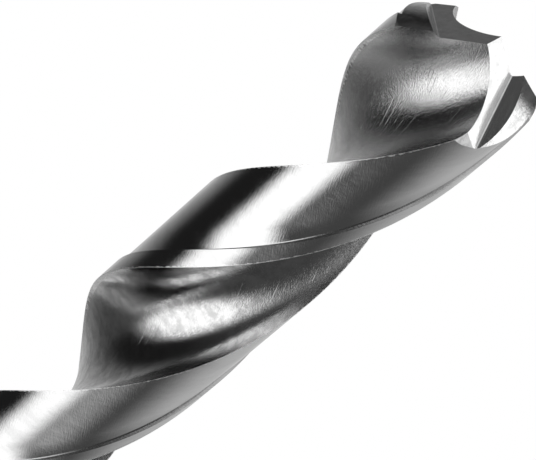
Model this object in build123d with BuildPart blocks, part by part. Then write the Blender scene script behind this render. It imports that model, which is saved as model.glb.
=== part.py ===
"""Twist drill bit: a jobber-length drill, ground from one bar of high-speed steel.

The drill stands on the flat end of its shank, with its axis along +Z and its point at
the top. The origin is the middle of the shank's end face. Looked at along the axis, the
two outer lip corners lie on the X axis, and each land runs back clockwise from its lip.
"""

import os
from math import cos, radians, sin, tan

from build123d import *

# ---- driving dimensions, in millimetres and degrees ----
drill_diameter = 8.0
overall_length = 117.0        # shank end to chisel edge
flute_length = 75.0           # chisel edge to where the flutes have run out
runout_length = 12.0          # last stretch of the flutes, which climbs out of the bar
flute_lead = 48.8             # one turn of the helix
shank_chamfer = 0.5

# section across the axis
web_thickness = 1.08          # core left between the roots of the two flutes
root_angle = 39.0             # where a flute's root lies, ahead of its lip
land_angle = 78.0             # whole land, from lip corner back to heel
margin_angle = 14.0           # full-diameter strip behind the lip corner
body_clearance = 0.16         # how far the land is relieved behind its margin
clearance_runout = 3.0        # the relief fades out over this length below the lands
rake_hollow = 0.36            # depth of the hooked cutting face under its chord
heel_hollow = 0.76            # depth of the flute's heel side under its chord

# point
point_angle = 118.0           # included angle of the two outer lips
lip_clearance = 12.0          # fall of the flank just behind the lip
flank_radius = 6.0            # the flank curves down towards the heel
corner_break = 0.12           # worn bevel on the outer lip corners
centre_height = 2.15          # chisel edge above the outer corners
centre_angle = 92.0           # included angle of the two centre faces
chisel_angle = 51.0           # chisel edge ahead of the lip
notch_distance = 2.04         # from the axis to where the notch crosses the lip
notch_heading = 96.0          # the notch runs back from the lip at this angle
notch_included = 122.0        # between the centre face and the notch's outer wall
notch_fillet = 0.12           # corner radius of the wheel that grinds the notch

# ---- values worked out from them ----
drill_radius = drill_diameter / 2
web_radius = web_thickness / 2
land_radius = drill_radius - body_clearance
flute_angle = 180 - land_angle
corner_height = overall_length - centre_height
flute_start = overall_length - flute_length + runout_length
cutter_reach = 2 * drill_diameter        # cutting solids stand this far past the drill
runout_steps = 6                         # sections along the run-out


def polar(radius, angle):
    """A point across the axis, by its distance from it and its angle ahead of the lip."""
    return Vector(radius * cos(radians(angle)), radius * sin(radians(angle)))


def hollow_point(start, end, depth):
    """The middle of a chord, moved by depth to the left of its direction."""
    chord = end - start
    return (start + end) * 0.5 + Vector(-chord.Y, chord.X).normalized() * depth


def helix_plane(height):
    """The plane across the drill at a height, turned with the helix."""
    turn = 360 * (height - corner_height) / flute_lead
    return Plane.XY.offset(height).rotated((0, 0, turn))


# ---- one flute across the axis: cutting face, root, heel side and the space outside ----
lip_corner = polar(drill_radius, 0)
flute_root = polar(web_radius, root_angle)
heel_corner = polar(land_radius, flute_angle)

with BuildSketch() as flute_form:
    with BuildLine():
        flute_wall = Spline(
            lip_corner,
            hollow_point(lip_corner, flute_root, rake_hollow),
            flute_root,
            hollow_point(flute_root, heel_corner, heel_hollow),
            heel_corner,
        )
        past_heel = heel_corner + (flute_wall % 1) * drill_radius
        past_lip = lip_corner - (flute_wall % 0) * drill_radius
        Line(heel_corner, past_heel)
        ThreePointArc(past_heel, polar(cutter_reach / 2, flute_angle / 2), past_lip)
        Line(past_lip, lip_corner)
    make_face()

# ---- body clearance: the strip taken off a land, from its margin to past its heel ----
def clearance_form(inner_radius):
    """The space outside a radius, behind the margin of one land."""
    with BuildSketch() as form:
        Circle(cutter_reach)
        Circle(inner_radius, mode=Mode.SUBTRACT)
        with BuildLine():
            Polyline(
                (0, 0),
                polar(2 * cutter_reach, -margin_angle),
                polar(2 * cutter_reach, -margin_angle - land_angle),
                close=True,
            )
        make_face(mode=Mode.INTERSECT)
    return form.sketch


with BuildSketch() as land_section:
    Circle(drill_radius)
    with PolarLocations(0, 2):
        add(flute_form.sketch, mode=Mode.SUBTRACT)
        add(clearance_form(land_radius), mode=Mode.SUBTRACT)

# ---- run-out of one land's clearance: a taper that meets the bar half way down ----
with BuildPart() as land_runout:
    for share in (0, 2):
        with BuildSketch(helix_plane(flute_start - clearance_runout * share)):
            add(clearance_form(land_radius + body_clearance * share))
    loft(ruled=True)

# ---- run-out of one flute: the same form, climbing out of the bar along the helix ----
with BuildPart() as flute_runout:
    for step in range(runout_steps + 1):
        share = step / runout_steps
        climb = (drill_radius - web_radius) * share**2
        with BuildSketch(helix_plane(flute_start - runout_length * share)):
            with Locations(polar(climb, flute_angle / 2)):
                add(flute_form.sketch)
    loft()

# ---- outer flank of one land: a curved surface whose straight lines follow the lip ----
lip_slope = radians(point_angle / 2)
lip_plane = Plane(
    origin=(drill_radius, 0, corner_height),
    x_dir=(0, 1, 0),
    z_dir=(sin(lip_slope), 0, -cos(lip_slope)),
)
with BuildPart() as flank_cutter:
    with BuildSketch(lip_plane):
        with BuildLine():
            ahead = Line((0, 0), (cutter_reach, cutter_reach * tan(radians(lip_clearance))))
            flank = JernArc((0, 0), (ahead % 0) * -1, flank_radius, 90 - lip_clearance)
            Polyline(
                flank @ 1,
                (-cutter_reach, (flank @ 1).Y),
                (-cutter_reach, cutter_reach),
                (cutter_reach, cutter_reach),
                ahead @ 1,
            )
        make_face()
    extrude(amount=cutter_reach, both=True)
    split(bisect_by=Plane((0, 0, 0), z_dir=polar(1, chisel_angle - 90)), keep=Keep.TOP)

# ---- notch of one land: it thins the web and leaves one face of the centre point ----
half_centre = radians(centre_angle / 2)
face_normal = polar(cos(half_centre), chisel_angle - 90) + Vector(0, 0, sin(half_centre))
heading = polar(1, -notch_heading)
notch_run = heading - Vector(0, 0, heading.dot(face_normal) / face_normal.Z)
crossing = polar(notch_distance, 0)
crossing_height = overall_length - crossing.dot(face_normal) / face_normal.Z
notch_plane = Plane(
    origin=crossing + Vector(0, 0, crossing_height),
    x_dir=face_normal.cross(notch_run),
    z_dir=notch_run,
)
with BuildPart() as notch_cutter:
    with BuildSketch(notch_plane):
        with BuildLine():
            outer_wall = PolarLine((0, 0), cutter_reach, 180 - notch_included)
            Polyline(
                outer_wall @ 1,
                (cutter_reach, cutter_reach),
                (-cutter_reach, cutter_reach),
                (-cutter_reach, 0),
                (0, 0),
            )
        make_face()
        fillet(vertices().sort_by_distance((0, 0))[0], radius=notch_fillet)
    extrude(amount=cutter_reach, both=True)

# ---- ring that bevels the two lip corners ----
with BuildPart() as corner_ring:
    with BuildSketch(Plane.XZ):
        with BuildLine():
            Polyline(
                (drill_radius - corner_break, corner_height + corner_break * tan(lip_slope / 2)),
                (drill_radius, corner_height - corner_break),
                (cutter_reach, corner_height - corner_break),
                (cutter_reach, corner_height + cutter_reach),
                close=True,
            )
        make_face()
    revolve()

# ---- the drill ----
with BuildPart() as drill_bit:
    Cylinder(drill_radius, flute_start, align=(Align.CENTER, Align.CENTER, Align.MIN))
    chamfer(edges().group_by(Axis.Z)[0], shank_chamfer)
    with PolarLocations(0, 2):
        add(flute_runout.part, mode=Mode.SUBTRACT)
        add(land_runout.part, mode=Mode.SUBTRACT)

    with BuildSketch(helix_plane(flute_start)):
        add(land_section.sketch)
    axis_line = Edge.make_line((0, 0, flute_start), (0, 0, overall_length))
    helix = Edge.make_helix(
        flute_lead, overall_length - flute_start, drill_radius, center=(0, 0, flute_start)
    )
    sweep(path=axis_line, binormal=helix)
    with PolarLocations(0, 2):
        add(flank_cutter.part, mode=Mode.SUBTRACT)
        add(notch_cutter.part, mode=Mode.SUBTRACT)
    add(corner_ring.part, mode=Mode.SUBTRACT)

drill_bit.part.label = "drill_bit"
os.makedirs("parts", exist_ok=True)
export_step(drill_bit.part, "parts/drill_bit.step")
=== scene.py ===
"""Twist drill: a jobber-length drill, ground from one bar of high-speed steel.

The drill stands on the flat end of its shank with its axis along +Z and its point up.
It is modelled in millimetres on the bench and scaled to metres when it is finished.
"""

from math import cos, pi, radians, sin, tan

import bmesh
import bpy
import numpy as np
from mathutils import Matrix, Vector


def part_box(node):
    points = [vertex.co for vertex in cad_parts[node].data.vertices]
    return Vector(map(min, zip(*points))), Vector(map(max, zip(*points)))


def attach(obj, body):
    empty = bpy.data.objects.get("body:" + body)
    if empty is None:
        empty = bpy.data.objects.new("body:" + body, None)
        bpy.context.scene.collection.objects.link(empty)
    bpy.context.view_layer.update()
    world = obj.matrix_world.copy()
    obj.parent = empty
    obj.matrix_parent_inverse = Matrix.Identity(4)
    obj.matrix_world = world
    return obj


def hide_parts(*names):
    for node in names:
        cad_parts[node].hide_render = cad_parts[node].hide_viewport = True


bl_info = {
    "name": "Twist drill",
    "version": (1, 0, 0),
    "blender": (4, 5, 0),
    "location": "3D View > Sidebar > Twist drill",
    "description": "A two-flute jobber drill with a notched centre point, on a pale floor",
    "category": "Add Mesh",
}

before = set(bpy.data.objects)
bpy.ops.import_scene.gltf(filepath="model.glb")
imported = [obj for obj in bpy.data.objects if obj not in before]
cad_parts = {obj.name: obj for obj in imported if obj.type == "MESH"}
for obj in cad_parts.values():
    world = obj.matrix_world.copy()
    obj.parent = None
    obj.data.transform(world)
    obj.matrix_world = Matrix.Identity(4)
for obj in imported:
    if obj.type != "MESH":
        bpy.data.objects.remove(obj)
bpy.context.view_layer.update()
BAR_LOW, BAR_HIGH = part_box("drill_bit")

MM = 0.001
WAYS = (0.0, pi)                   # the two flutes stand half a turn apart
FLUTE, LAND, FLANK, CENTRE, SHANK = range(5)      # the finishes, in the order of the slots

# ---- how finely the drill is ground ----------------------------------------------------
WALL_STEPS = 56                    # faces across a flute
LAND_STEP = radians(3.0)           # angle of one face round a land
RISE_STEP = 0.25                   # height of one ring of faces along the flutes, in millimetres
RUNOUT_STEPS = 48                  # rings along a run-out
ROUND_STEPS = 180                  # faces round the shank
FLANK_STEPS = 48                   # faces along a flank's curve
NOTCH_STEPS = 6                    # faces round a notch's corner
DOUBLE = 0.001                     # corners closer than this, in millimetres, are one
TOUCH = 1e-6                       # corners this close to a cutting plane lie on it
SHARP_ANGLE = radians(24)          # faces that meet at more than this keep a sharp edge


# ---- sizes -----------------------------------------------------------------------------
class DrillSizes(bpy.types.PropertyGroup):
    """The drill's sizes, as they are ground."""

    diameter: bpy.props.FloatProperty(
        name="Diameter", description="Across the margins",
        default=BAR_HIGH.x - BAR_LOW.x, unit="LENGTH")
    overall_length: bpy.props.FloatProperty(
        name="Overall length", description="Shank end to chisel edge",
        default=BAR_HIGH.z - BAR_LOW.z, unit="LENGTH")
    flute_length: bpy.props.FloatProperty(
        name="Flute length", description="Chisel edge to the end of the run-out",
        default=75.0 * MM, unit="LENGTH")
    runout_length: bpy.props.FloatProperty(
        name="Run-out length", description="Stretch where the flutes climb out of the bar",
        default=12.0 * MM, unit="LENGTH")
    lead: bpy.props.FloatProperty(
        name="Lead", description="Length of one turn of the flutes",
        default=48.8 * MM, unit="LENGTH")
    shank_chamfer: bpy.props.FloatProperty(
        name="Shank chamfer", description="Chamfer round the shank's end",
        default=0.5 * MM, unit="LENGTH")
    web: bpy.props.FloatProperty(
        name="Web", description="Core left between the roots of the flutes",
        default=1.08 * MM, unit="LENGTH")
    root_angle: bpy.props.FloatProperty(
        name="Root angle", description="Where a flute's root lies, ahead of its lip",
        default=radians(39), subtype="ANGLE")
    land_angle: bpy.props.FloatProperty(
        name="Land angle", description="Whole land, from lip corner back to heel",
        default=radians(78), subtype="ANGLE")
    margin_angle: bpy.props.FloatProperty(
        name="Margin angle", description="Full-diameter strip behind the lip corner",
        default=radians(14), subtype="ANGLE")
    clearance: bpy.props.FloatProperty(
        name="Body clearance", description="How far a land is relieved behind its margin",
        default=0.16 * MM, unit="LENGTH")
    clearance_runout: bpy.props.FloatProperty(
        name="Clearance run-out", description="The relief fades out over this length",
        default=3.0 * MM, unit="LENGTH")
    rake_hollow: bpy.props.FloatProperty(
        name="Rake hollow", description="Depth of the hooked cutting face",
        default=0.36 * MM, unit="LENGTH")
    heel_hollow: bpy.props.FloatProperty(
        name="Heel hollow", description="Depth of the flute's heel side",
        default=0.76 * MM, unit="LENGTH")
    point_angle: bpy.props.FloatProperty(
        name="Point angle", description="Included angle of the two outer lips",
        default=radians(118), subtype="ANGLE")
    lip_clearance: bpy.props.FloatProperty(
        name="Lip clearance", description="Fall of the flank just behind the lip",
        default=radians(12), subtype="ANGLE")
    flank_radius: bpy.props.FloatProperty(
        name="Flank radius", description="How the flank curves down towards the heel",
        default=6.0 * MM, unit="LENGTH")
    corner_break: bpy.props.FloatProperty(
        name="Corner break", description="Worn bevel on the outer lip corners",
        default=0.12 * MM, unit="LENGTH")
    centre_height: bpy.props.FloatProperty(
        name="Centre height", description="Chisel edge above the outer corners",
        default=2.15 * MM, unit="LENGTH")
    centre_angle: bpy.props.FloatProperty(
        name="Centre angle", description="Included angle of the two centre faces",
        default=radians(92), subtype="ANGLE")
    chisel_angle: bpy.props.FloatProperty(
        name="Chisel angle", description="Chisel edge ahead of the lip",
        default=radians(51), subtype="ANGLE")
    notch_distance: bpy.props.FloatProperty(
        name="Notch distance", description="From the axis to where a notch crosses the lip",
        default=2.04 * MM, unit="LENGTH")
    notch_heading: bpy.props.FloatProperty(
        name="Notch heading", description="Angle at which a notch runs back from the lip",
        default=radians(96), subtype="ANGLE")
    notch_included: bpy.props.FloatProperty(
        name="Notch angle", description="Between the centre face and the notch's outer wall",
        default=radians(122), subtype="ANGLE")
    notch_fillet: bpy.props.FloatProperty(
        name="Notch fillet", description="Corner radius of the wheel that grinds the notch",
        default=0.12 * MM, unit="LENGTH")


# ---- shop geometry ---------------------------------------------------------------------
def polar(radius, angle, height=0.0):
    """A point by its distance from the axis, its angle ahead of the lip and its height."""
    return Vector((radius * cos(angle), radius * sin(angle), height))


def hollow_point(start, end, depth):
    """The middle of a chord, moved by depth to the left of its direction."""
    chord = end - start
    return (start + end) / 2 + Vector((-chord.y, chord.x, 0)).normalized() * depth


def end_slope(lengths, points):
    """Slope of the cubic through four points, at the first of them."""
    return np.linalg.solve(np.vander(lengths - lengths[0], 4), points)[2]


def smooth_line(knots, count):
    """Points along the smooth curve that passes through the knots."""
    knots = np.array(knots)
    lengths = np.r_[0, np.cumsum(np.linalg.norm(np.diff(knots, axis=0), axis=1))]
    spans = np.diff(lengths)
    last = len(spans)
    weights = np.eye(last + 1)
    slopes = np.zeros_like(knots)
    slopes[0] = end_slope(lengths[:4], knots[:4])
    slopes[last] = end_slope(lengths[:-5:-1], knots[:-5:-1])
    # the slopes between are those at which the curve's bend doesn't jump at a knot
    for i in range(1, last):
        before, after = spans[i - 1], spans[i]
        weights[i, i - 1:i + 2] = after, 2 * (before + after), before
        rise, next_rise = knots[i] - knots[i - 1], knots[i + 1] - knots[i]
        slopes[i] = 3 * (after * rise / before + before * next_rise / after)
    slopes = np.linalg.solve(weights, slopes)
    line = []
    # from each knot to the next runs the cubic that has both knots and both slopes
    for place in np.linspace(0, lengths[-1], count):
        i = min(int(np.searchsorted(lengths, place, side="right")) - 1, last - 1)
        s = (place - lengths[i]) / spans[i]
        ends = (2 * s**3 - 3 * s**2 + 1) * knots[i] + (3 * s**2 - 2 * s**3) * knots[i + 1]
        pulls = (s**3 - 2 * s**2 + s) * slopes[i] + (s**3 - s**2) * slopes[i + 1]
        line.append(Vector(ends + pulls * spans[i]))
    return line


class Bench:
    """The drill's sizes in millimetres, and what follows from them."""

    def __init__(self, sizes):
        for prop in sizes.bl_rna.properties:
            if prop.type == "FLOAT":
                unit = MM if prop.unit == "LENGTH" else 1
                setattr(self, prop.identifier, getattr(sizes, prop.identifier) / unit)
        self.radius = self.diameter / 2
        self.land_radius = self.radius - self.clearance
        self.flute_angle = pi - self.land_angle
        self.corner_height = self.overall_length - self.centre_height
        self.flute_start = self.overall_length - self.flute_length + self.runout_length
        self.reach = 2 * self.diameter       # cutting solids stand this far past the drill
        lip = polar(self.radius, 0)
        root = polar(self.web / 2, self.root_angle)
        heel = polar(self.land_radius, self.flute_angle)
        self.flute_wall = smooth_line([
            lip,
            hollow_point(lip, root, self.rake_hollow),
            root,
            hollow_point(root, heel, self.heel_hollow),
            heel,
        ], WALL_STEPS + 1)

    def turn(self, height):
        """How far the section at a height is turned with the helix."""
        return 2 * pi * (height - self.corner_height) / self.lead


def wire_loop(shape, points):
    """A closed loop of edges through the points."""
    verts = [shape.verts.new(point) for point in points]
    return [shape.edges.new(pair) for pair in zip(verts, verts[1:] + verts[:1])]


def fill_ends(shape, finish=SHANK):
    """Closes the open ends and turns all faces outwards."""
    rims = [edge for edge in shape.edges if edge.is_boundary]
    filled = bmesh.ops.holes_fill(shape, edges=rims, sides=0)
    for face in filled["faces"]:
        face.material_index = finish
    bmesh.ops.recalc_face_normals(shape, faces=shape.faces)


def bridge_rings(shape, rings, finish):
    """Joins each ring to the next, closes the ends and gives the solid its finish."""
    for low, high in zip(rings, rings[1:]):
        bmesh.ops.bridge_loops(shape, edges=low + high)
    fill_ends(shape, finish)
    for face in shape.faces:
        face.material_index = finish


def to_object(shape, name, finishes):
    """Puts a bmesh in the scene as an object with its finishes."""
    mesh = bpy.data.meshes.new(name)
    shape.to_mesh(mesh)
    shape.free()
    for finish in finishes:
        mesh.materials.append(finish)
    thing = bpy.data.objects.new(name, mesh)
    bpy.context.scene.collection.objects.link(thing)
    return thing


def arc(radius, start, end):
    """Points on a circle about the axis, both ends included."""
    count = max(1, round(abs(end - start) / LAND_STEP))
    return [polar(radius, start + (end - start) * i / count) for i in range(count + 1)]


def land_section(bench):
    """The drill's outline across the axis: two flutes and two relieved, margined lands."""
    margin_back = pi - bench.margin_angle
    half = list(bench.flute_wall)
    half += arc(bench.land_radius, bench.flute_angle, margin_back)[1:]
    half += arc(bench.radius, margin_back, pi)[:-1]
    return half + [Matrix.Rotation(pi, 3, "Z") @ point for point in half]


def fluted_body(bench):
    """The lands and flutes above the run-out: the section, spun up the helix."""
    shape = bmesh.new()
    bottom = bench.flute_start - RISE_STEP
    top = bench.overall_length + RISE_STEP
    wire_loop(shape, land_section(bench))
    start = Matrix.Translation((0, 0, bottom)) @ Matrix.Rotation(bench.turn(bottom), 4, "Z")
    bmesh.ops.transform(shape, matrix=start, verts=shape.verts)
    steps = round((top - bottom) / RISE_STEP)
    bmesh.ops.spin(
        shape, geom=list(shape.verts) + list(shape.edges), cent=(0, 0, 0), axis=(0, 0, 1),
        dvec=(0, 0, (top - bottom) / steps), angle=bench.turn(top) - bench.turn(bottom),
        steps=steps)
    land_inside = bench.land_radius - bench.clearance / 4     # faces below this are flute
    for face in shape.faces:
        across = face.calc_center_median().xy.length
        face.material_index = FLUTE if across < land_inside else LAND
    fill_ends(shape)
    return shape


def flute_runout(bench, way):
    """What the wheel takes as one flute climbs out of the bar along the helix."""
    shape = bmesh.new()
    wall = bench.flute_wall
    form = wall + [
        wall[-1] + (wall[-1] - wall[-2]).normalized() * bench.radius,
        polar(bench.diameter, bench.flute_angle / 2),
        wall[0] + (wall[0] - wall[1]).normalized() * bench.radius,
    ]
    rings = []
    for step in range(RUNOUT_STEPS + 1):
        share = step / RUNOUT_STEPS
        height = bench.flute_start - bench.runout_length * share
        climb = (bench.radius - bench.web / 2) * share**2
        place = Matrix.Rotation(bench.turn(height) + way, 4, "Z") @ Matrix.Translation(
            polar(climb, bench.flute_angle / 2, height))
        rings.append(wire_loop(shape, [place @ point for point in form]))
    bridge_rings(shape, rings, FLUTE)
    return shape


def land_runout(bench, way):
    """The taper in which one land's clearance fades out on the bar, behind its margin."""
    shape = bmesh.new()
    ahead = -bench.margin_angle
    behind = ahead - bench.land_angle
    rings = []
    for step in range(RUNOUT_STEPS + 1):
        share = 2 * step / RUNOUT_STEPS
        height = bench.flute_start - bench.clearance_runout * share
        inner = arc(bench.land_radius + bench.clearance * share, ahead, behind)
        outer = arc(bench.reach, behind, ahead)
        place = Matrix.Translation((0, 0, height)) @ Matrix.Rotation(
            bench.turn(height) + way, 4, "Z")
        rings.append(wire_loop(shape, [place @ point for point in inner + outer]))
    bridge_rings(shape, rings, LAND)
    return shape


def shank_bar(bench):
    """The plain bar, with the chamfer round its end."""
    shape = bmesh.new()
    bmesh.ops.create_cone(
        shape, cap_ends=True, segments=ROUND_STEPS, radius1=bench.radius,
        radius2=bench.radius, depth=bench.flute_start,
        matrix=Matrix.Translation((0, 0, bench.flute_start / 2)))
    foot = [edge for edge in shape.edges if all(vert.co.z < DOUBLE for vert in edge.verts)]
    bmesh.ops.bevel(
        shape, geom=foot, offset=bench.shank_chamfer, offset_type="OFFSET", segments=1,
        profile=0.5, affect="EDGES", material=-1)
    for face in shape.faces:
        face.material_index = SHANK
    return shape


def prism(outline, run, finish):
    """A solid whose outline is pushed along the wheel's run, with a map that follows it."""
    shape = bmesh.new()
    surface = shape.loops.layers.uv.new("surface")
    edges = wire_loop(shape, outline)
    bmesh.ops.contextual_create(shape, geom=edges)
    pushed = bmesh.ops.extrude_face_region(shape, geom=shape.faces[:])
    verts = [item for item in pushed["geom"] if isinstance(item, bmesh.types.BMVert)]
    bmesh.ops.translate(shape, vec=run, verts=verts)
    bmesh.ops.recalc_face_normals(shape, faces=shape.faces)
    marks = np.r_[0, np.cumsum([(b - a).length for a, b in zip(outline, outline[1:])])]
    along = run.normalized()
    for face in shape.faces:
        face.material_index = finish
        for loop in face.loops:
            height = (loop.vert.co - outline[0]).dot(along)
            foot = loop.vert.co - along * height
            near = min(range(len(outline)), key=lambda i: (outline[i] - foot).length)
            loop[surface].uv = marks[near], height
    return shape


def flank_cutter(bench, way):
    """What is ground off outside one land's flank, whose straight lines follow the lip."""
    slope = bench.point_angle / 2
    down_lip = Vector((sin(slope), 0, -cos(slope)))
    behind = Vector((0, -1, 0))
    above = behind.cross(down_lip)
    above = above if above.z > 0 else -above
    far = bench.reach
    outline = [(-far, far * tan(bench.lip_clearance)), (-far, far), (far, far)]
    curve = []
    for step in range(FLANK_STEPS + 1):
        lean = bench.lip_clearance + (pi / 2 - bench.lip_clearance) * step / FLANK_STEPS
        curve.append((bench.flank_radius * (sin(lean) - sin(bench.lip_clearance)),
                      bench.flank_radius * (cos(lean) - cos(bench.lip_clearance))))
    outline += [(far, curve[-1][1])] + curve[::-1]
    corner = polar(bench.radius, 0, bench.corner_height)
    shape = prism([corner + behind * x + above * y - down_lip * far for x, y in outline],
                  down_lip * 2 * far, FLANK)
    whole = list(shape.verts) + list(shape.edges) + list(shape.faces)
    bmesh.ops.bisect_plane(
        shape, geom=whole, plane_co=(0, 0, 0), plane_no=polar(1, bench.chisel_angle - pi / 2),
        clear_inner=True, dist=TOUCH)
    fill_ends(shape, FLANK)
    bmesh.ops.rotate(
        shape, cent=(0, 0, 0), matrix=Matrix.Rotation(way, 3, "Z"), verts=shape.verts)
    return shape


def notch_cutter(bench, way):
    """The wheel that thins the web and leaves one face of the centre point."""
    half = bench.centre_angle / 2
    normal = polar(cos(half), bench.chisel_angle - pi / 2, sin(half))
    heading = polar(1, -bench.notch_heading)
    run = heading - Vector((0, 0, heading.dot(normal) / normal.z))
    crossing = polar(bench.notch_distance, 0)
    crossing.z = bench.overall_length - crossing.dot(normal) / normal.z
    across = normal.cross(run).normalized()
    run.normalize()
    up = run.cross(across)
    far = bench.reach
    wall = pi - bench.notch_included         # the outer wall rises at this angle to the face
    middle = Vector((-bench.notch_fillet * tan(wall / 2), bench.notch_fillet))
    outline = [(far * cos(wall), far * sin(wall)), (far, far), (-far, far), (-far, 0)]
    for step in range(NOTCH_STEPS + 1):
        lean = -pi / 2 + wall * step / NOTCH_STEPS
        outline.append((middle.x + bench.notch_fillet * cos(lean),
                        middle.y + bench.notch_fillet * sin(lean)))
    shape = prism([crossing + across * x + up * y - run * far for x, y in outline],
                  run * 2 * far, CENTRE)
    bmesh.ops.rotate(
        shape, cent=(0, 0, 0), matrix=Matrix.Rotation(way, 3, "Z"), verts=shape.verts)
    return shape


def corner_ring(bench):
    """The ring that bevels the two lip corners."""
    shape = bmesh.new()
    drop = bench.corner_break * tan(bench.point_angle / 4)
    low = bench.corner_height - bench.corner_break
    wire_loop(shape, [
        (bench.radius - bench.corner_break, 0, bench.corner_height + drop),
        (bench.radius, 0, low),
        (bench.reach, 0, low),
        (bench.reach, 0, bench.corner_height + bench.reach),
    ])
    bmesh.ops.spin(
        shape, geom=list(shape.verts) + list(shape.edges), cent=(0, 0, 0), axis=(0, 0, 1),
        dvec=(0, 0, 0), angle=2 * pi, steps=ROUND_STEPS, use_merge=True)
    bmesh.ops.recalc_face_normals(shape, faces=shape.faces)
    for face in shape.faces:
        face.material_index = FLANK
    return shape


def combine(target, tool, operation):
    """Adds a tool's solid to the target, or cuts it away, and removes the tool."""
    step = target.modifiers.new(tool.name, "BOOLEAN")
    step.operation = operation
    step.object = tool
    step.solver = "EXACT"
    bpy.context.view_layer.update()
    finished = bpy.data.meshes.new_from_object(
        target.evaluated_get(bpy.context.evaluated_depsgraph_get()))
    if not finished.polygons:
        raise RuntimeError(f"{tool.name} leaves nothing of {target.name}")
    target.modifiers.clear()
    target.data = finished
    bpy.data.objects.remove(tool)


def merge_point(drill, bench):
    """Merges the doubled corners and drops the slivers that the cuts leave in the point."""
    shape = bmesh.new()
    shape.from_mesh(drill.data)
    point = [vert for vert in shape.verts if vert.co.z > bench.corner_height]
    bmesh.ops.remove_doubles(shape, verts=point, dist=DOUBLE)
    short = [edge for edge in shape.edges if edge.verts[0].co.z > bench.corner_height]
    bmesh.ops.dissolve_degenerate(shape, edges=short, dist=DOUBLE)
    shape.to_mesh(drill.data)
    shape.free()


# ---- surface coordinates ---------------------------------------------------------------
def unwound(points, bench):
    """Points turned back against the helix, so that a flute runs straight up."""
    turns = -bench.turn(points[:, 2])
    x, y = points[:, 0], points[:, 1]
    return x * np.cos(turns) - y * np.sin(turns), x * np.sin(turns) + y * np.cos(turns)


def across_flute(x, y, bench):
    """How far each point lies along the flute's wall, from its lip to its heel."""
    wall = np.array([point.xy for point in bench.flute_wall])
    runs = np.diff(wall, axis=0)
    marks = np.r_[0, np.cumsum(np.linalg.norm(runs, axis=1))]
    across = np.zeros(len(x))
    nearest = np.full(len(x), np.inf)
    for sign in (1, -1):
        for start, run, mark in zip(wall, runs, marks):
            size = np.linalg.norm(run)
            dx, dy = sign * x - start[0], sign * y - start[1]
            part = np.clip((dx * run[0] + dy * run[1]) / size**2, 0, 1)
            off = np.hypot(dx - part * run[0], dy - part * run[1])
            closer = off < nearest
            nearest[closer] = off[closer]
            across[closer] = mark + part[closer] * size
    return across, marks[-1]


def read_array(items, name, width=1, kind=float):
    """One property of all items of a mesh, as an array."""
    values = np.zeros(len(items) * width, dtype=kind)
    items.foreach_get(name, values)
    return values.reshape(-1, width) if width > 1 else values


def lay_out(drill, bench):
    """Maps of the flutes, lands and shank in millimetres, for the finishes.

    "surface" runs across a flute or round the bar, and up the axis. "edge" is how far it
    is to the nearest edge of the flute or land, and "beyond_margin" how far it is to the
    margin from the land behind it.
    """
    mesh = drill.data
    places = read_array(mesh.vertices, "co", 3)
    x, y = unwound(places, bench)
    across, wall_width = across_flute(x, y, bench)
    angle = np.arctan2(y, x)
    round_bar = angle * bench.radius - np.hypot(x, y)     # a margin's step has width too
    past_heel = (angle - bench.flute_angle + LAND_STEP) % pi - LAND_STEP
    land_edge = np.minimum(past_heel, bench.land_angle - past_heel) * bench.radius
    flute_edge = np.minimum(across, wall_width - across)
    corner_vert = read_array(mesh.loops, "vertex_index", kind=int)
    kinds = np.repeat(read_array(mesh.polygons, "material_index", kind=int),
                      read_array(mesh.polygons, "loop_total", kind=int))
    layer = mesh.uv_layers["surface"]
    surface = read_array(layer.uv, "vector", 2)
    on_flute = kinds == FLUTE
    on_round = (kinds == LAND) | (kinds == SHANK)
    surface[on_flute, 0] = across[corner_vert][on_flute]
    surface[on_round, 0] = round_bar[corner_vert][on_round]
    surface[on_flute | on_round, 1] = places[corner_vert, 2][on_flute | on_round]
    layer.uv.foreach_set("vector", surface.ravel())
    edge = np.full(len(kinds), bench.radius)
    edge[on_flute] = flute_edge[corner_vert][on_flute]
    edge[kinds == LAND] = land_edge[corner_vert][kinds == LAND]
    mesh.attributes.new("edge", "FLOAT", "CORNER").data.foreach_set("value", edge)
    beyond = (bench.land_angle - bench.margin_angle - past_heel) * bench.radius
    mesh.attributes.new("beyond_margin", "FLOAT", "CORNER").data.foreach_set(
        "value", beyond[corner_vert])


# ---- node helpers ----------------------------------------------------------------------
def feed(tree, socket, value):
    """Gives a socket its value, or a link from another node."""
    if isinstance(value, bpy.types.NodeSocket):
        tree.links.new(value, socket)
    else:
        socket.default_value = value


def add(tree, kind, sockets=(), **settings):
    """A node with its settings and with what goes into its sockets."""
    node = tree.nodes.new(kind)
    for name, value in settings.items():
        setattr(node, name, value)
    for key, value in dict(sockets).items():
        feed(tree, node.inputs[key], value)
    return node


def maths(tree, operation, *values):
    """The result of one maths node."""
    return add(tree, "ShaderNodeMath", enumerate(values), operation=operation).outputs[0]


def ramp(tree, value, start, end, low=0.0, high=1.0, kind="SMOOTHSTEP"):
    """Goes from low to high, as the value goes from start to end."""
    return add(tree, "ShaderNodeMapRange", {
        "Value": value, "From Min": start, "From Max": end, "To Min": low, "To Max": high},
        interpolation_type=kind).outputs[0]


def noise(tree, place, scale=1.0, detail=2.0, roughness=0.5):
    """A noise over the surface, about 0.5 in the middle."""
    return add(tree, "ShaderNodeTexNoise", {
        "Vector": place, "Scale": scale, "Detail": detail, "Roughness": roughness}).outputs[0]


def mix(tree, amount, first, second, kind="FLOAT"):
    """A blend of two values or two colours."""
    node = add(tree, "ShaderNodeMix", data_type=kind)
    sockets = {socket.name: socket for socket in node.inputs if socket.enabled}
    for name, value in (("Factor", amount), ("A", first), ("B", second)):
        feed(tree, sockets[name], value)
    return next(socket for socket in node.outputs if socket.enabled)


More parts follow.
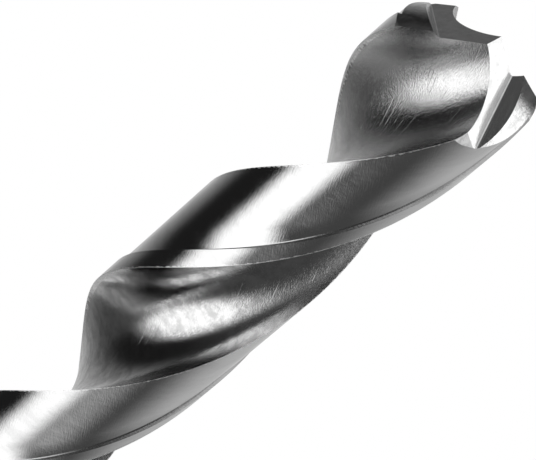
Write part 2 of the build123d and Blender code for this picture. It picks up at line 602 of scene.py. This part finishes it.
def new_group(name, inputs, outputs):
    """A node group with named sockets: its tree, its inputs and its outputs."""
    tree = bpy.data.node_groups.new(name, "ShaderNodeTree")
    for label, kind in inputs:
        tree.interface.new_socket(label, in_out="INPUT", socket_type=kind)
    for label in outputs:
        tree.interface.new_socket(label, in_out="OUTPUT", socket_type="NodeSocketFloat")
    ins = add(tree, "NodeGroupInput").outputs
    outs = add(tree, "NodeGroupOutput").inputs
    return tree, ins, outs


def use_group(tree, name, **values):
    """A node group placed in a material with its own values."""
    node = add(tree, "ShaderNodeGroup", node_tree=bpy.data.node_groups[name])
    for label, value in values.items():
        feed(tree, node.inputs[label], value)
    return node.outputs


# ---- effects that the finishes share, with sizes in millimetres ------------------------
VECTOR, VALUE = "NodeSocketVector", "NodeSocketFloat"
SCRATCH_SHAPE = (0.6, 0.06, 1.0)   # a stroke's width, length and depth over a scratch's
SCRATCH_START, SCRATCH_FULL = 0.72, 0.80          # only the noise's peaks are scratches
GRAIN_FINENESS = 9.0               # the grain is this many times finer than its patches
RAGGED_SCALE, BROKEN_SCALE = 4.0, 1.1             # noise for the rim and gaps of a painted glint line
RAGGED_LEAST, RAGGED_MOST = 0.2, 1.6              # shares of the line's width
PIT_RIM = 0.02                     # width of a pit's sloping rim
PIT_FREE_SHARE = 0.55              # this share of the places has no pit


def grinding_marks():
    """Short strokes of the wheel, and a few long scratches along them."""
    tree, ins, outs = new_group(
        "grinding_marks",
        [("Place", VECTOR), ("Turn", VALUE), ("Length", VALUE), ("Width", VALUE)],
        ["Marks", "Scratches"])
    turned = add(tree, "ShaderNodeVectorRotate", {"Vector": ins["Place"], "Angle": ins["Turn"]},
                 rotation_type="Z_AXIS", invert=True).outputs[0]
    size = add(tree, "ShaderNodeCombineXYZ", {
        "X": ins["Width"], "Y": ins["Length"], "Z": ins["Length"]}).outputs[0]
    strokes = add(tree, "ShaderNodeVectorMath", {0: turned, 1: size},
                  operation="DIVIDE").outputs[0]
    tree.links.new(noise(tree, strokes, detail=3.0, roughness=0.6), outs["Marks"])
    drawn_out = add(tree, "ShaderNodeVectorMath", {0: strokes, 1: SCRATCH_SHAPE},
                    operation="MULTIPLY").outputs[0]
    hairs = noise(tree, drawn_out, detail=0.0)
    tree.links.new(ramp(tree, hairs, SCRATCH_START, SCRATCH_FULL), outs["Scratches"])
    return tree


def rubbed_patches():
    """Soft uneven patches where the steel is more or less bright, and their fine grain."""
    tree, ins, outs = new_group(
        "rubbed_patches", [("Place", VECTOR), ("Size", VALUE)], ["Patches", "Grain"])
    scale = maths(tree, "DIVIDE", 1.0, ins["Size"])
    tree.links.new(noise(tree, ins["Place"], scale, 4.0, 0.62), outs["Patches"])
    finer = maths(tree, "MULTIPLY", scale, GRAIN_FINENESS)
    tree.links.new(noise(tree, ins["Place"], finer, 2.0), outs["Grain"])
    return tree


def edge_glint():
    """A thin broken painted glint: a bright line painted along an edge, for the highlight it
    would catch.
    """
    tree, ins, outs = new_group(
        "edge_glint", [("Place", VECTOR), ("Distance", VALUE), ("Width", VALUE)], ["Worn"])
    outline = noise(tree, ins["Place"], RAGGED_SCALE, 3.0)
    ragged = ramp(tree, outline, 0.35, 0.65, RAGGED_LEAST, RAGGED_MOST)
    reach = maths(tree, "MULTIPLY", ins["Width"], ragged)
    near = ramp(tree, maths(tree, "DIVIDE", ins["Distance"], reach), 1.0, 0.3)
    broken = ramp(tree, noise(tree, ins["Place"], BROKEN_SCALE, 3.0), 0.28, 0.46)
    tree.links.new(maths(tree, "MULTIPLY", near, broken), outs["Worn"])
    return tree


def pits():
    """Scattered small dark pits."""
    tree, ins, outs = new_group(
        "pits", [("Place", VECTOR), ("Spacing", VALUE), ("Radius", VALUE)], ["Pits"])
    scale = maths(tree, "DIVIDE", 1.0, ins["Spacing"])
    cells = add(tree, "ShaderNodeTexVoronoi", {"Vector": ins["Place"], "Scale": scale})
    off = maths(tree, "MULTIPLY", cells.outputs["Distance"], ins["Spacing"])
    chance = add(tree, "ShaderNodeSeparateColor", {0: cells.outputs["Color"]}).outputs[0]
    radius = maths(tree, "MULTIPLY", ins["Radius"], ramp(tree, chance, PIT_FREE_SHARE, 1.0))
    tree.links.new(ramp(tree, maths(tree, "SUBTRACT", off, radius), 0.0, -PIT_RIM), outs["Pits"])
    return tree


# ---- finishes --------------------------------------------------------------------------
class SteelSettings(bpy.types.PropertyGroup):
    """Colours of the ground steel."""

    ground: bpy.props.FloatVectorProperty(
        name="Ground steel", description="Steel as the wheel leaves it",
        default=(0.62, 0.62, 0.62), subtype="COLOR")
    # colour of the dull patches, darker at random; down the flutes it also carries painted shade
    dull_and_shaded: bpy.props.FloatVectorProperty(
        name="Dull and shaded steel", description="Dull patches, and the painted shade down the flutes",
        default=(0.30, 0.30, 0.30), subtype="COLOR")
    # colour of the painted glint, a bright line painted along the flute and land edges for their
    # highlight
    glint_line: bpy.props.FloatVectorProperty(
        name="Worn edge", description="Painted glint along the edges",
        default=(0.95, 0.95, 0.95), subtype="COLOR")
    pitted: bpy.props.FloatVectorProperty(
        name="Pits", description="The bottom of a pit", default=(0.06, 0.06, 0.06),
        subtype="COLOR")


PIT_RADIUS = 0.07                  # of the widest pits, in millimetres
PIT_DEPTH = 0.02                   # in millimetres
GRAIN_SHARE = 1 / 8                # of the patches' height
# roughness of the painted glint line
GLINT_ROUGHNESS = 0.45
# between these depths below the chisel edge the flutes' painted shade and flatter relief set in
BELOW_START, BELOW_FULL = 11.0, 23.0            # millimetres below the chisel edge


def ground_steel(name, turn, stroke, relief, patch, sheen, darkening_and_shade=(0.2, 0.2),
                 relief_below=1.0, glint_width=0.0, pit_spacing=2.2, swell=None):
    """Ground steel, whose sheen and relief come from the wheel's marks and from use.

    turn: how far the strokes lean from the map's second axis; stroke: their length and
    width; relief: the heights of strokes, scratches and patches; patch: size of a patch;
    sheen: roughness where the steel is bright and where it is dull; darkening_and_shade: how
    much the dull patches are darkened near the point and below, where any extra darkening is
    painted shade; relief_below: the share of the marks' height that is left below;
    glint_width: width of the painted glint line at an edge; pit_spacing: from pit to pit;
    swell: reach and height of the soft rise to the margin. Sizes in millimetres.
    """
    colours = bpy.context.scene.drill_steel
    finish = bpy.data.materials.new(name)
    finish.use_nodes = True
    tree = finish.node_tree
    shader = tree.nodes["Principled BSDF"]
    shader.inputs["Metallic"].default_value = 1.0
    place = add(tree, "ShaderNodeUVMap", uv_map="surface").outputs["UV"]
    marks = use_group(tree, "grinding_marks", Place=place, Turn=turn, Length=stroke[0],
                      Width=stroke[1])
    patches = use_group(tree, "rubbed_patches", Place=place, Size=patch)
    holes = use_group(tree, "pits", Place=place, Spacing=pit_spacing,
                      Radius=PIT_RADIUS)["Pits"]
    dull = ramp(tree, patches["Patches"], 0.36, 0.66)
    chisel_edge = bpy.context.scene.drill_sizes.overall_length / MM
    up_axis = add(tree, "ShaderNodeSeparateXYZ", {0: place}).outputs["Y"]
    # the dull patches darken the steel at random; on the flutes they darken it much more below,
    # which is painted shade
    below = ramp(tree, up_axis, chisel_edge - BELOW_START, chisel_edge - BELOW_FULL)
    dull_and_shaded = mix(tree, below, *darkening_and_shade)
    colour = mix(tree, maths(tree, "MULTIPLY", dull, dull_and_shaded), (*colours.ground, 1),
                 (*colours.dull_and_shaded, 1), "RGBA")
    # painted glint: the colour brightens in a thin broken line along the edges, standing in for
    # their highlight
    if glint_width:
        edge = add(tree, "ShaderNodeAttribute", attribute_name="edge").outputs["Fac"]
        glint_line = use_group(tree, "edge_glint", Place=place, Distance=edge, Width=glint_width)["Worn"]
        colour = mix(tree, glint_line, colour, (*colours.glint_line, 1), "RGBA")
    colour = mix(tree, holes, colour, (*colours.pitted, 1), "RGBA")
    tree.links.new(colour, shader.inputs["Base Color"])
    rough = ramp(tree, patches["Patches"], 0.35, 0.65, *sheen)
    if glint_width:
        rough = maths(tree, "MAXIMUM", rough, maths(tree, "MULTIPLY", glint_line, GLINT_ROUGHNESS))
    tree.links.new(rough, shader.inputs["Roughness"])
    height = maths(tree, "MULTIPLY", marks["Marks"], relief[0])
    height = maths(tree, "MULTIPLY_ADD", marks["Scratches"], -relief[1], height)
    height = maths(tree, "MULTIPLY", height, mix(tree, below, 1.0, relief_below))
    for layer, depth in ((patches["Patches"], relief[2]),
                         (patches["Grain"], relief[2] * GRAIN_SHARE), (holes, -PIT_DEPTH)):
        height = maths(tree, "MULTIPLY_ADD", layer, depth, height)
    if swell:
        beyond = add(tree, "ShaderNodeAttribute", attribute_name="beyond_margin").outputs["Fac"]
        near = ramp(tree, beyond, swell[0], 0.0, kind="LINEAR")
        height = maths(tree, "MULTIPLY_ADD", maths(tree, "POWER", near, 2.0), swell[1], height)
    bump = add(tree, "ShaderNodeBump", {"Height": height, "Distance": MM})
    tree.links.new(bump.outputs[0], shader.inputs["Normal"])
    return finish


def flute_steel():
    """The flutes: slanting wheel marks, rubbed flatter below; painted shade below, painted edge
    glint.
    """
    return ground_steel("flute_steel", turn=radians(24), stroke=(0.20, 0.055),
                        relief=(0.017, 0.005, 0.006), patch=0.8, sheen=(0.08, 0.17),
                        darkening_and_shade=(0.10, 0.6), relief_below=0.35, glint_width=0.06, pit_spacing=3.0)


def land_steel():
    """The lands and margins: bright, with fine marks, a few pits and a painted glint on their
    edges.
    """
    return ground_steel("land_steel", turn=radians(45), stroke=(0.6, 0.05),
                        relief=(0.004, 0.0005, 0.010), patch=2.2, sheen=(0.08, 0.15),
                        darkening_and_shade=(0.15, 0.15), glint_width=0.09, pit_spacing=1.5, swell=(1.0, 0.065))


def flank_steel():
    """The flanks of the point, with marks that run back from the lip."""
    return ground_steel("flank_steel", turn=radians(70), stroke=(0.25, 0.09),
                        relief=(0.008, 0.003, 0.006), patch=0.5, sheen=(0.12, 0.24))


def centre_steel():
    """The centre faces and notches, with straight marks along the notch."""
    return ground_steel("centre_steel", turn=0.0, stroke=(6.0, 0.14),
                        relief=(0.004, 0.002, 0.001), patch=0.7, sheen=(0.12, 0.20))


def shank_steel():
    """The shank, ground round the bar."""
    return ground_steel("shank_steel", turn=radians(88), stroke=(2.0, 0.06),
                        relief=(0.004, 0.003, 0.006), patch=1.4, sheen=(0.12, 0.20))


def finish_list():
    """The finishes in the order of the slots."""
    for effect in (grinding_marks, rubbed_patches, edge_glint, pits):
        effect()
    return [make() for make in (flute_steel, land_steel, flank_steel, centre_steel, shank_steel)]


class DRILL_OT_grind(bpy.types.Operator):
    """Grinds the drill from a bar: shank, flutes, lands and point"""

    bl_idname = "drill.grind"
    bl_label = "Grind drill"

    def execute(self, context):
        bench = Bench(context.scene.drill_sizes)
        finishes = finish_list()
        drill = to_object(fluted_body(bench), "twist_drill", finishes)
        for way in WAYS:
            combine(drill, to_object(flank_cutter(bench, way), "flank", finishes), "DIFFERENCE")
            combine(drill, to_object(notch_cutter(bench, way), "notch", finishes), "DIFFERENCE")
        combine(drill, to_object(corner_ring(bench), "ring", finishes), "DIFFERENCE")
        bar = to_object(shank_bar(bench), "bar", finishes)
        for way in WAYS:
            combine(bar, to_object(flute_runout(bench, way), "runout", finishes), "DIFFERENCE")
            combine(bar, to_object(land_runout(bench, way), "relief", finishes), "DIFFERENCE")
        combine(drill, bar, "UNION")
        merge_point(drill, bench)
        lay_out(drill, bench)
        drill.data.transform(Matrix.Scale(MM, 4))
        drill.data.shade_smooth()
        drill.data.set_sharp_from_angle(angle=SHARP_ANGLE)
        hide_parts("drill_bit")
        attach(drill, "root")
        return {"FINISHED"}


# ---- stage -----------------------------------------------------------------------------
class StageSettings(bpy.types.PropertyGroup):
    """Floor and light."""

    floor_colour: bpy.props.FloatVectorProperty(
        name="Floor colour", description="The pale floor", default=(0.9, 0.9, 0.9),
        subtype="COLOR")
    background: bpy.props.FloatVectorProperty(
        name="Background colour", description="What the camera sees behind the drill",
        default=(1.0, 1.0, 1.0), subtype="COLOR")
    dim_level: bpy.props.FloatProperty(
        name="Dim level", description="The surroundings between the panels, 1 is white",
        default=0.10, min=0.0, soft_max=1.0)


FLOOR_REACH = 1.5                  # metres from the drill to the floor's edge
CAMERA_SPIN = radians(-120.68)     # where the camera stands round the drill, from its lip
CAMERA_CLIMB = radians(45.112)     # how steeply it looks down at the point
CAMERA_LEAN = radians(40.807)      # how far the drill's axis rises from the picture's level
CAMERA_BACK, CAMERA_RIGHT, CAMERA_UP = 49.849, -2.3014, -1.9202   # in radii of the drill
LENS, SENSOR = 290.66, 36.0        # millimetres
CLIP_START = 0.01                  # metres


def camera_place(bench):
    """Where the camera stands and how it is turned, in the drill's own frame."""
    climb, lean = CAMERA_CLIMB, CAMERA_LEAN
    right = Vector((-sin(climb) * cos(lean), sin(lean), cos(climb) * cos(lean)))
    up = Vector((-sin(climb) * sin(lean), -cos(lean), cos(climb) * sin(lean)))
    back = Vector((cos(climb), 0, sin(climb)))
    place = back * CAMERA_BACK + right * CAMERA_RIGHT + up * CAMERA_UP
    spin = Matrix.Rotation(CAMERA_SPIN, 3, "Z")
    turn = Matrix((right, up, back)).transposed()
    place = spin @ place * bench.radius + Vector((0, 0, bench.corner_height))
    return Matrix.Translation(place * MM) @ (spin @ turn).to_4x4()


# Each card: its azimuth and elevation, its roll, its half width and half height, all in
# degrees, how soft its rim is, and its level, where 1 is white.
CARDS = {
    "backdrop": (35, -45, 0, 52, 32, 0.65, 0.72),
    "white_wall": (59, -45, 0, 16, 10, 0.5, 0.8),
    "dark_card": (162, -38, 0, 25, 22, 0.3, 0.02),
    "lip_shade": (100, 10, 0, 14, 12, 0.4, 0.02),
    "low_band": (-102, -64, -10, 17, 14, 0.6, 1.2),
    "floor_glint": (-10, -82, 0, 10, 8, 0.6, 1.1),
    "soft_panel": (-150, -35, -25, 23, 20, 0.35, 2.2),
    "horizon": (-130, 10, 0, 45, 8, 0.5, 0.9),
    "high_band": (-16, 42, 0, 12, 30, 0.3, 1.3),
    "overhead": (-70, 78, 0, 16, 12, 0.4, 1.0),
    "face_panel": (-7, 9, 0, 22, 13, 0.15, 2.4),
    "heel_panel": (-38, 3, 0, 12, 8, 0.5, 1.3),
}


def card_mask(tree, ray, azimuth, elevation, roll, half_width, half_height, softness):
    """How much of a card the direction of a ray meets: 1 inside its soft rim, 0 outside."""
    facing = (Matrix.Rotation(radians(azimuth), 3, "Z")
              @ Matrix.Rotation(radians(-elevation), 3, "Y")
              @ Matrix.Rotation(radians(roll), 3, "X"))
    local = add(tree, "ShaderNodeMapping", {"Vector": ray, "Rotation": facing.to_euler()},
                vector_type="TEXTURE").outputs[0]
    x, y, z = add(tree, "ShaderNodeSeparateXYZ", {0: local}).outputs
    aside = maths(tree, "DIVIDE", maths(tree, "ARCTAN2", y, x), radians(half_width))
    above = maths(tree, "DIVIDE", maths(tree, "ARCSINE", z), radians(half_height))
    squares = maths(tree, "ADD", maths(tree, "MULTIPLY", aside, aside),
                    maths(tree, "MULTIPLY", above, above))
    return ramp(tree, maths(tree, "SQRT", squares), 1 + softness, 1 - softness)


def tent(tree, dim_level):
    """The panels and dark cards round the drill, as polished steel mirrors them."""
    ray = add(tree, "ShaderNodeTexCoord").outputs["Generated"]
    level = dim_level
    for *card, brightness in CARDS.values():
        level = mix(tree, card_mask(tree, ray, *card), level, brightness)
    return level


def shown_directly(tree):
    """1 where the camera sees a surface, by itself or through glass."""
    path = add(tree, "ShaderNodeLightPath").outputs
    return maths(tree, "MAXIMUM", path["Is Camera Ray"], path["Is Transmission Ray"])


def pale_floor(settings):
    """The floor's paint, which the camera sees as the plain background."""
    pale = bpy.data.materials.new("pale_floor")
    pale.use_nodes = True
    tree = pale.node_tree
    shader = tree.nodes["Principled BSDF"]
    shader.inputs["Base Color"].default_value = (*settings.floor_colour, 1)
    glow = add(tree, "ShaderNodeEmission", {"Color": (*settings.background, 1)})
    seen = add(tree, "ShaderNodeMixShader", {
        0: shown_directly(tree), 1: shader.outputs[0], 2: glow.outputs[0]})
    tree.links.new(seen.outputs[0], tree.nodes["Material Output"].inputs["Surface"])
    return pale


class DRILL_OT_stage(bpy.types.Operator):
    """Lays the floor, and sets the light and the camera"""

    bl_idname = "drill.stage"
    bl_label = "Set stage"

    def execute(self, context):
        scene = context.scene
        settings = scene.drill_stage
        shape = bmesh.new()
        bmesh.ops.create_grid(shape, x_segments=1, y_segments=1, size=FLOOR_REACH)
        floor = to_object(shape, "floor", [pale_floor(settings)])
        floor.visible_glossy = False
        scene.world = studio(settings)
        scene.camera = main_camera(Bench(scene.drill_sizes))
        scene.collection.objects.link(scene.camera)
        scene.view_settings.view_transform = "Standard"
        return {"FINISHED"}


def studio(settings):
    """Plain soft light from all round; polished steel mirrors the panels in it."""
    world = bpy.data.worlds.new("studio")
    world.use_nodes = True
    tree = world.node_tree
    plain = tree.nodes["Background"]
    plain.inputs["Color"].default_value = (*settings.background, 1)
    mirrored = add(tree, "ShaderNodeBackground", {"Strength": tent(tree, settings.dim_level)})
    path = add(tree, "ShaderNodeLightPath").outputs
    blend = add(tree, "ShaderNodeMixShader", {
        0: path["Is Glossy Ray"], 1: plain.outputs[0], 2: mirrored.outputs[0]})
    tree.links.new(blend.outputs[0], tree.nodes["World Output"].inputs["Surface"])
    return world


def main_camera(bench):
    """A long lens, close to the drill's point."""
    lens = bpy.data.cameras.new("camera")
    lens.lens = LENS
    lens.sensor_width = SENSOR
    lens.clip_start = CLIP_START
    camera = bpy.data.objects.new("camera", lens)
    camera.matrix_world = camera_place(bench)
    return camera


# ---- panel and registration ------------------------------------------------------------
class DRILL_PT_panel(bpy.types.Panel):
    """The drill's sizes, colours and tools"""

    bl_idname = "DRILL_PT_panel"
    bl_label = "Twist drill"
    bl_space_type = "VIEW_3D"
    bl_region_type = "UI"
    bl_category = "Twist drill"

    def draw(self, context):
        for settings in (context.scene.drill_sizes, context.scene.drill_steel,
                         context.scene.drill_stage):
            box = self.layout.box()
            for name in settings.__annotations__:
                box.prop(settings, name)
        for tool in (DRILL_OT_grind, DRILL_OT_stage):
            self.layout.operator(tool.bl_idname)


SETTINGS = {"drill_sizes": DrillSizes, "drill_steel": SteelSettings, "drill_stage": StageSettings}
CLASSES = (*SETTINGS.values(), DRILL_OT_grind, DRILL_OT_stage, DRILL_PT_panel)


def register():
    """Adds the settings, the tools and the panel."""
    for cls in CLASSES:
        bpy.utils.register_class(cls)
    for name, group in SETTINGS.items():
        setattr(bpy.types.Scene, name, bpy.props.PointerProperty(type=group))


def unregister():
    """Takes them away again."""
    for name in SETTINGS:
        delattr(bpy.types.Scene, name)
    for cls in reversed(CLASSES):
        bpy.utils.unregister_class(cls)


def main():
    """Grinds the drill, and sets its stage."""
    register()
    bpy.ops.drill.grind()
    bpy.ops.drill.stage()


if __name__ == "__main__":
    main()
